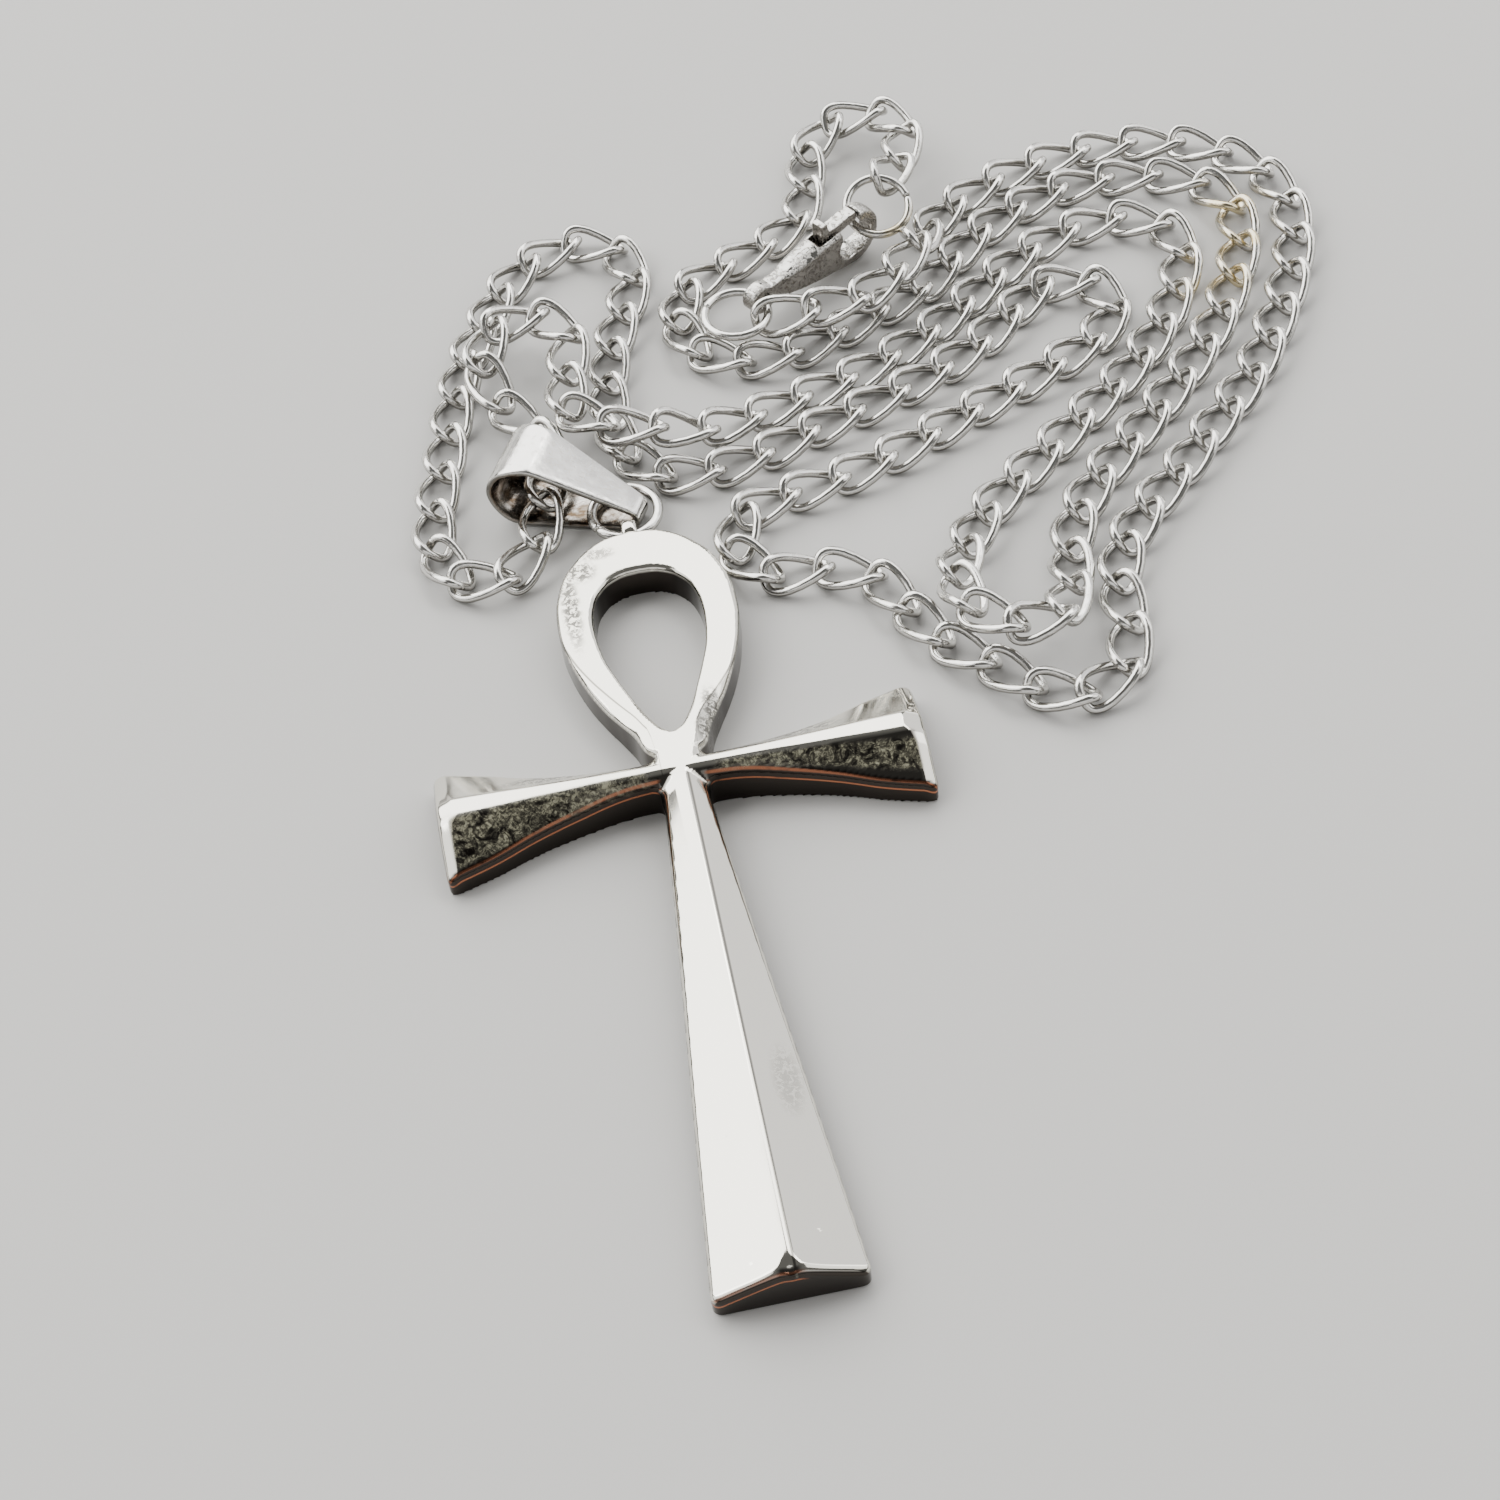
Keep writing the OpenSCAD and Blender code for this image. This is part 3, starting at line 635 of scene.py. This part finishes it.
def point_values(piece, name, values):
    attribute = piece.data.attributes.new(name, "FLOAT", "POINT")
    attribute.data.foreach_set("value", values.astype(np.float32))


ankh = new_piece("ankh_casting", points, faces, ankh_plate)
attribute = ankh.data.color_attributes.new("wear_and_painted_dark", "FLOAT_COLOR", "POINT")
attribute.data.foreach_set("color", wear_and_painted_dark.astype(np.float32).ravel())
point_values(ankh, "from_low_edge", from_low_edge)
point_values(ankh, "from_crease", from_crease)
# The top and walls shade by their true slopes, the back is flat, and the eye shades by itself
point_normals = np.vstack([point_normals, np.zeros((len(eye_points), 3))])
corner_normals = []
for face, looks_down in zip(faces, on_back):
    corner_normals += [(0.0, 0.0, -1.0)] * len(face) if looks_down else point_normals[face].tolist()
ankh.data.normals_split_custom_set(corner_normals)
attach(ankh, "necklace")
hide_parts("ankh")


# The three rings. The jump ring is bent from round wire and goes through the eye and round the
# bail's tip; two like it, of thinner wire, end the chain at the clasp. Each is closed by hand,
# so its two cut ends meet with a hair between them.
wire_silver = (0.85, 0.84, 0.81, 1)
scuff_grey = (0.42, 0.40, 0.36, 1)
downward_painted_dark_brown = (0.1, 0.09, 0.075, 1)
brass_yellow = (0.74, 0.62, 0.36, 1)
ring_y = 27.8
jump_ring_diameter, jump_ring_wire, jump_ring_cut = 5.3, 0.8, -150
closed_cut, open_cut = 0.06, 0.12


def wire_metal(name, downward_painted_dark, yellow_near=(), yellow_reach=6.0):
    """Bright plated wire, scuffed, painted darker where it faces down as a painted dark reflection, rubbed
    to yellow near places.
    """
    material, tree, shader = new_material(name)
    place = add_node(tree, "TexCoord").outputs["Object"]
    yellow = 0.0
    for spot in yellow_near:
        far = add_node(tree, "VectorMath", {0: place, 1: tuple(c * MM for c in spot)},
                       operation="DISTANCE").outputs["Value"]
        near = stretch(tree, far, yellow_reach * MM, 0.4 * yellow_reach * MM)
        yellow = calculate(tree, "MAXIMUM", yellow, near)
    scuffs = stretch(tree, noise(tree, 1900, 5, 0.62, 0.7), 0.52, 0.68)
    colour = mix_colours(tree, times(tree, scuffs, 0.35), wire_silver, scuff_grey)
    facing = add_node(tree, "SeparateXYZ", {0: add_node(tree, "TexCoord").outputs["Normal"]})
    # Painted dark reflection on the sides that face down
    downward_painted_dark_share = stretch(tree, facing.outputs["Z"], 0.55, -0.05, 0, downward_painted_dark)
    colour = mix_colours(tree, downward_painted_dark_share, colour, downward_painted_dark_brown)
    if yellow_near:
        rubbed_wear_and_painted_shade = times(tree, yellow, stretch(tree, noise(tree, 420, 4), 0.4, 0.58))
        colour = mix_colours(tree, times(tree, rubbed_wear_and_painted_shade, 0.75), colour, brass_yellow)
    tree.links.new(colour, shader.inputs["Base Color"])
    shader.inputs["Metallic"].default_value = 1
    shine = stretch(tree, noise(tree, 800, 4), 0.3, 0.7, 0.1, 0.24)
    tree.links.new(plus(tree, shine, times(tree, scuffs, 0.12)), shader.inputs["Roughness"])
    uneven(tree, shader, noise(tree, 1600, 5, 0.6), 0.55, 0.00003)
    return material


def wire_ring(name, middle, diameter, wire, lean, cut_at, cut_width, material):
    """A ring of round wire; lean tips it about X, and cut_at is the angle of its cut."""
    sweep = np.radians(cut_at) + np.linspace(cut_width / diameter, 2 * np.pi - cut_width / diameter, 96)
    lean_cos, lean_sin = math.cos(math.radians(lean)), math.sin(math.radians(lean))
    spokes = np.column_stack([np.cos(sweep), np.sin(sweep) * lean_cos, np.sin(sweep) * lean_sin])
    line = np.array(middle) + spokes * diameter / 2
    radius = wire / 2 * np.ones(len(line))
    radius[[0, -1]] *= 0.8
    points, faces = tube(line, spokes, radius, radius, corners=20, closed=False)
    piece = new_piece(name, points, faces, material)
    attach(piece, "necklace")
    return piece


ring_wire_metal = wire_metal("ring_wire", 0.7)
jump_ring = wire_ring("jump_ring_wire", (0, ring_y, eye_outer), jump_ring_diameter, jump_ring_wire,
                      0, jump_ring_cut, closed_cut, ring_wire_metal)
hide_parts("jump_ring")


# The bail. A tapered strip of polished sheet, folded round so that the chain runs through it;
# its two ends are soldered into a narrow tip that hangs in the jump ring. It lies on its side
# leaf, so the broad upper leaf faces the sky.
bail_length, bail_height, bail_wall = 12.2, 6.4, 0.6
bail_width, bail_tip_width, bail_tip_height = 5.7, 1.9, 2.6
bail_tip, bail_turn, bail_full = (1.5, -0.5), 151, 0.85
fold_waves, fold_wave_depth = 3.5, 0.012
strip_corners = 40
bail_inside_brown = (0.12, 0.085, 0.055, 1)
fold_radius = (bail_height - bail_wall) / 2
fold_x = bail_length - bail_height / 2
tip_radius = (bail_tip_height - bail_wall) / 2
tip_x = tip_radius + bail_wall / 2
span = fold_x - tip_x
lean = math.asin((fold_radius - tip_radius) / span) + math.atan2(fold_radius - tip_radius, span)
fold_turn = np.linspace(-math.pi / 2, math.pi / 2 + lean, 40)
tip_turn = np.linspace(math.pi / 2 + lean, 3 * math.pi / 2, 20)
waved = fold_radius * (1 - fold_wave_depth * np.abs(np.sin(fold_waves * fold_turn)))
fold = np.column_stack([fold_x + waved * np.cos(fold_turn),
                        bail_wall / 2 + fold_radius + waved * np.sin(fold_turn)])
tip = np.column_stack([tip_x + tip_radius * np.cos(tip_turn),
                       bail_wall / 2 + tip_radius + tip_radius * np.sin(tip_turn)])
leaf = np.linspace(0, 1, 26)[1:-1, None]
side_view = np.vstack([fold, fold[-1] + leaf * (tip[0] - fold[-1]), tip,
                       tip[-1] + leaf * (fold[0] - tip[-1])])
half_widths = np.interp(side_view[:, 0], [0, bail_length * bail_full],
                        [bail_tip_width / 2, bail_width / 2])
aim = np.array((math.cos(math.radians(bail_turn)), math.sin(math.radians(bail_turn)), 0))
beside = np.array((-aim[1], aim[0], 0))
bail_line = (np.array((bail_tip[0], ring_y + bail_tip[1], 0)) + side_view[:, :1] * aim
             + side_view[:, 1:] * (0, 0, 1))
points, faces = tube(bail_line, beside, half_widths, bail_wall / 2, strip_corners, boxiness=0.3)
sheet_metal = wire_metal("polished_sheet", 0.85)
tree = sheet_metal.node_tree
shader = tree.nodes["Principled BSDF"]
# The inner face of the fold is darkened to a mottled brown
inside = add_node(tree, "Attribute", attribute_name="inside").outputs["Fac"]
inside_mottle = stretch(tree, noise(tree, 650, 5, 0.6, 1.2), 0.35, 0.6, 0.45, 1)
plated = shader.inputs["Base Color"].links[0].from_socket
colour = mix_colours(tree, times(tree, inside, inside_mottle), plated, bail_inside_brown)
tree.links.new(colour, shader.inputs["Base Color"])
bail = new_piece("bail_sheet", points, faces, sheet_metal)
strip_turn = 2 * np.pi * np.arange(strip_corners) / strip_corners
point_values(bail, "inside", np.tile(np.sin(strip_turn) > 0.1, len(bail_line)))
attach(bail, "necklace")
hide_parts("bail")


# The chain. About 64 centimetres of twisted curb links, each a ring of plated wire pressed
# into an oval and turned about its length so that all lie flat. It runs from the clasp's ring
# through the bail and back to the end ring, in the loose loops that the photograph shows.
link_count, links_to_bail = 152, 78
link_length, link_width, link_twist = 5.95, 3.6, 46
link_wire, shown_wire = 0.64, 0.72
link_stations, link_corners, link_squareness = 36, 10, 0.62
packed_stations = 10  # of the solid links, which sets the height that all rest at
route_steps = 12
ground_gap, end_roll, rolled_links = 0.03, 30, 2
link_hold = 0.45
# Where the wire is rubbed to yellow brass
YELLOW_PLACES = [(55.9, 49, 1.5), (54.5, 44.5, 1.5), (52.3, 41.5, 1.5)]
clasp_at = np.array((14.6, 19.8, 2.75))
clasp_turn = math.radians(33)
clasp_way = np.array((math.cos(clasp_turn), math.sin(clasp_turn), 0))
end_ring_diameter, end_ring_wire = 5.3, 0.72
tail_ring_cut, end_ring_cut = 150, 8
tail_ring_at = clasp_at - (end_ring_diameter / 2 - 0.05) * clasp_way - (0, 0, 0.15)
tail_link_angle, end_link_angle, end_ring_tilt = -25, 70, 22
clasp_length, clasp_thickness, nose_wall, end_ring_gap = 13.2, 2.4, 0.7, 0.45
half_ring = end_ring_diameter / 2
end_ring_bow = half_ring - math.sqrt(half_ring**2 - (clasp_thickness / 2) ** 2)
end_ring_reach = half_ring / math.hypot(
    clasp_way[0], clasp_way[1] / math.cos(math.radians(end_ring_tilt)))
end_ring_far = clasp_length - nose_wall - end_ring_gap - end_ring_wire / 2 - end_ring_bow + end_ring_reach
end_ring_at = (clasp_at + end_ring_far * clasp_way
               + (0, 0, end_ring_reach * clasp_way[1] * math.tan(math.radians(end_ring_tilt))))
# From the clasp to the end ring: x, y from the jump ring's middle, lift above its rest
ROUTE = [
    (18.17, 16.77, 2.1), (22.94, 17, 2.2), (29.44, 24.06, 1.42), (30.06, 25.86, 0.08),
    (36.03, 29.91, 0.13), (56.6, 29.2, 0), (59.2, 26.2, 0), (52.8, 3.9, 0), (45.3, -4.3, 0),
    (35.8, -15.2, 0), (35, -22.6, 0), (33.2, -25.9, 0), (29.6, -26.5, 0), (24, -21.4, 0),
    (21.2, -18.6, 0), (19.5, -15.2, 0), (18.6, -12.2, 0), (16.2, -9.8, 0), (9.4, -8.9, 0),
    (7.5, -5.8, 0), (8.9, -2.4, 0), (12.4, -1.3, 0), (16.6, -0.6, 0), (30.8, 4.9, 0), (35.1, 6.7, 0),
    (43.2, 12.8, 0), (42.3, 16, 0), (39.2, 17.2, 0), (36, 15.5, 0), (33.2, 12.8, 0), (14.5, 4.7, 0),
    (10.1, 3.2, 0), (3.2, 3.6, 0), (1, 6.4, 0), (0.4, 9.8, 0), (2.2, 20.4, 0), (5, 27.2, 0),
    (4, 30.6, 0), (1.1, 32.4, 0), (-2.4, 31.6, 0), (-9.3, 22.6, 0), (-13.6, 8.8, 0), (-15.2, 2, 0),
    (-15.2, -1.4, 0), (-13, -4.3, 0), (-9.7, -4.6, 0.15), (-7.3, -2.3, 0.45), (-6.8, 0.5, 0.75),
    (-4.8, 6, 1.2), (-5.2, 9, 0.9), (-7.1, 12.1, 0.35), (-8.9, 15.4, 1.55), (-9, 19.1, 2.45),
    (-5.3, 22.3, 2.45), (-1.5, 19.5, 2.45), (-2, 15.6, 2.25), (-3.3, 12.3, 1.95), (-2.1, 9.1, 2.3),
    (4.2, 6.7, 2.05), (7.2, 6.7, 0.95), (14.2, 8.6, 0), (22.4, 11.1, 0), (29.9, 15.3, 0),
    (33.1, 17.9, 0), (43.8, 23.1, 0), (47.4, 22.9, 0), (50.3, 20.5, 0), (48.4, 13.2, 0),
    (43.9, 6.9, 0), (34.9, -0.8, 0), (25.6, -9.4, 0.25), (23.3, -16.8, 2.15), (25.4, -20.2, 2.45),
    (29.1, -20.8, 2.25), (31.7, -18.2, 1.55), (32.2, -14.4, 0.15), (36, -6.4, 0), (38.8, -3.8, 0),
    (53.5, 13.8, 0), (56, 21.2, 0), (54.6, 24.9, 0), (44.1, 28.2, 0), (33.7, 24, 0), (28.2, 19, 0),
    (24.5, 17.5, 0), (13.2, 14.2, 0), (9.6, 15.4, 0), (7.7, 22, 0), (9.9, 24.9, 0), (13.4, 26.3, 0),
    (19.9, 30.1, 0), (21.2, 33.4, 0), (21.5, 37, 0), (23.67, 40.33, 0.62), (27.51, 40.93, 1.31),
    (30.61, 38.29, 1.92), (29.52, 33.29, 2.19)]


def on_ring(middle, angle, tilt):
    """The point of an end ring that the chain's last link hangs on."""
    a, t = math.radians(angle), math.radians(tilt)
    return middle + half_ring * np.array(
        (math.cos(a), math.sin(a) * math.cos(t), math.sin(a) * math.sin(t)))


def held(wire, following):
    """The end of the last link, a little beyond the ring's wire that it hangs on."""
    return wire - link_hold * (following - wire) / np.linalg.norm(following - wire)


def link_lines(start, end, roll, stations):
    """Middle lines of twisted links between pairs of joints: links, stations, x y z."""
    along = (end - start) / np.linalg.norm(end - start, axis=1)[:, None]
    level = np.cross((0, 0, 1), along)
    level /= np.linalg.norm(level, axis=1)[:, None]
    over = np.cross(along, level)
    roll = np.radians(roll)[:, None]
    side = np.cos(roll) * level + np.sin(roll) * over
    lift = np.cos(roll) * over - np.sin(roll) * level
    turn = 2 * np.pi * np.arange(stations) / stations
    x = np.sign(np.cos(turn)) * np.abs(np.cos(turn)) ** link_squareness
    y = np.sign(np.sin(turn)) * np.abs(np.sin(turn)) ** link_squareness * (link_width - link_wire) / 2
    twist = np.radians(link_twist) * x
    parts = (x * (link_length - link_wire) / 2, y * np.cos(twist), -y * np.sin(twist))
    middle = (start + end) / 2
    return middle[:, None] + sum(part[:, None] * way[:, None]
                                 for part, way in zip(parts, (along, side, lift)))


one_link = link_lines(np.zeros((1, 3)), np.array([(1.0, 0, 0)]), np.zeros(1), packed_stations)
rest_height = ground_gap + link_wire / 2 + one_link[..., 2].max()
lifted = np.array(ROUTE, float) + (0, 0, rest_height)
lifted = np.vstack([held(on_ring(tail_ring_at, tail_link_angle, 0), lifted[0]), lifted,
                    held(on_ring(end_ring_at, end_link_angle, end_ring_tilt), lifted[-1])])
route_line = smooth_line(lifted, route_steps) + (0, ring_y, 0)
route_far = np.append(0, np.cumsum(np.linalg.norm(np.diff(route_line, axis=0), axis=1)))
joint_far = np.linspace(0, route_far[-1], link_count + 1)
joints = np.column_stack([np.interp(joint_far, route_far, column) for column in route_line.T])
joints[:, 2] = np.maximum(joints[:, 2], rest_height)
numbers = np.arange(link_count) + 0.5
rolls = end_roll * (np.maximum(0, 1 - numbers / rolled_links)
                    - np.maximum(0, 1 - (link_count - numbers) / rolled_links))
links = link_lines(joints[:-1], joints[1:], rolls, link_stations)
chain_metal = wire_metal("chain_wire", 0.8, YELLOW_PLACES, 4.5)


def chain_part(name, node, first, last):
    """The links from the first up to the last as one piece of round wire rings."""
    points, faces = [], []
    for line in links[first:last]:
        ends = (line[0] + line[link_stations // 2]) / 2
        found, sides = tube(line, line - ends, shown_wire / 2, shown_wire / 2, link_corners)
        faces += [[k + len(points) * len(found) for k in face] for face in sides]
        points.append(found)
    piece = new_piece(name, np.vstack(points), faces, chain_metal)
    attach(piece, "necklace")
    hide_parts(node)


chain_part("chain_to_clasp", "chain_clasp_half", 0, links_to_bail)
chain_part("chain_to_end_ring", "chain_ring_half", links_to_bail, link_count)


# The clasp. A small lobster claw cast in two parts: a body with the tail eye and the hooked
# claw, and a sprung lever on a pin that shuts the mouth over the end ring. It stands on its
# edge, and its plating is scuffed and dull where it has been handled; its sides that don't face
# up are painted darker, a painted shade.
clasp_silver = (0.7, 0.69, 0.66, 1)
clasp_painted_shade = (0.13, 0.11, 0.09, 1)
clasp_scuffs = (0.12, 0.1, 0.08, 1)
clasp_metal, tree, shader = new_material("worn_clasp_with_painted_shade")
scuffed = stretch(tree, noise(tree, 1250, 6, 0.65, 1.5), 0.46, 0.6)
fine = stretch(tree, noise(tree, 4200, 4, 0.6), 0.42, 0.62)
facing = add_node(tree, "SeparateXYZ", {0: add_node(tree, "TexCoord").outputs["Normal"]})
# Painted shade: the sides that don't face up are darker
painted_shade_side = stretch(tree, facing.outputs["Z"], 0.85, 0.1, 0, 0.7)
rubbed_wear_and_painted_shade = mix_colours(tree, painted_shade_side, clasp_silver, clasp_painted_shade)
colour = mix_colours(tree, times(tree, times(tree, scuffed, fine), 0.85), rubbed_wear_and_painted_shade, clasp_scuffs)
tree.links.new(colour, shader.inputs["Base Color"])
shader.inputs["Metallic"].default_value = 1
tree.links.new(stretch(tree, scuffed, 0, 1, 0.13, 0.34), shader.inputs["Roughness"])
uneven(tree, shader, times(tree, scuffed, fine), 0.6, 0.00006)


def rounded_copy(node, name, body, cell_size, rounds, crown):
    """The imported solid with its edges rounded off, as a tumbled casting's are."""
    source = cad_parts[node]
    piece = bpy.data.objects.new(name, source.data.copy())
    bpy.context.scene.collection.objects.link(piece)
    net = piece.modifiers.new("net", "REMESH")
    net.mode = "VOXEL"
    net.voxel_size = cell_size * MM
    net.use_smooth_shade = True
    soften = piece.modifiers.new("soften", "SMOOTH")
    soften.factor = 0.5
    soften.iterations = rounds
    bpy.context.view_layer.update()
    shaped = bpy.data.meshes.new_from_object(
        piece.evaluated_get(bpy.context.evaluated_depsgraph_get()))
    piece.modifiers.clear()
    piece.data = shaped
    spots = np.empty(3 * len(shaped.vertices), np.float32)
    shaped.vertices.foreach_get("co", spots)
    spots = spots.reshape(-1, 3)
    beside_clasp = (spots[:, :2] / MM - (clasp_at + (0, ring_y, 0))[:2]) @ (-clasp_way[1], clasp_way[0])
    spots[:, 2] *= 1 - crown * np.minimum((beside_clasp / (clasp_thickness / 2)) ** 2, 1)
    shaped.vertices.foreach_set("co", spots.ravel())
    shaped.update()
    shaped.materials.clear()
    shaped.materials.append(clasp_metal)
    shaped.polygons.foreach_set("use_smooth", [True] * len(shaped.polygons))
    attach(piece, body)
    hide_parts(node)


rounded_copy("clasp_body", "clasp_claw", "necklace", 0.09, 10, 0.09)
rounded_copy("clasp_lever", "clasp_lever_cast", "lever", 0.06, 4, 0)

tail_ring = wire_ring("clasp_end_ring", tail_ring_at + (0, ring_y, 0), end_ring_diameter,
                      end_ring_wire, 0, tail_ring_cut, closed_cut, ring_wire_metal)
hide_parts("tail_ring")
end_ring_metal = wire_metal("end_ring_wire", 0.7, [tuple(end_ring_at + (1.0, ring_y - 2.4, 0))], 3.0)
end_ring = wire_ring("open_end_ring", end_ring_at + (0, ring_y, 0), end_ring_diameter,
                     end_ring_wire, end_ring_tilt, end_ring_cut, open_cut, end_ring_metal)
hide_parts("end_ring")
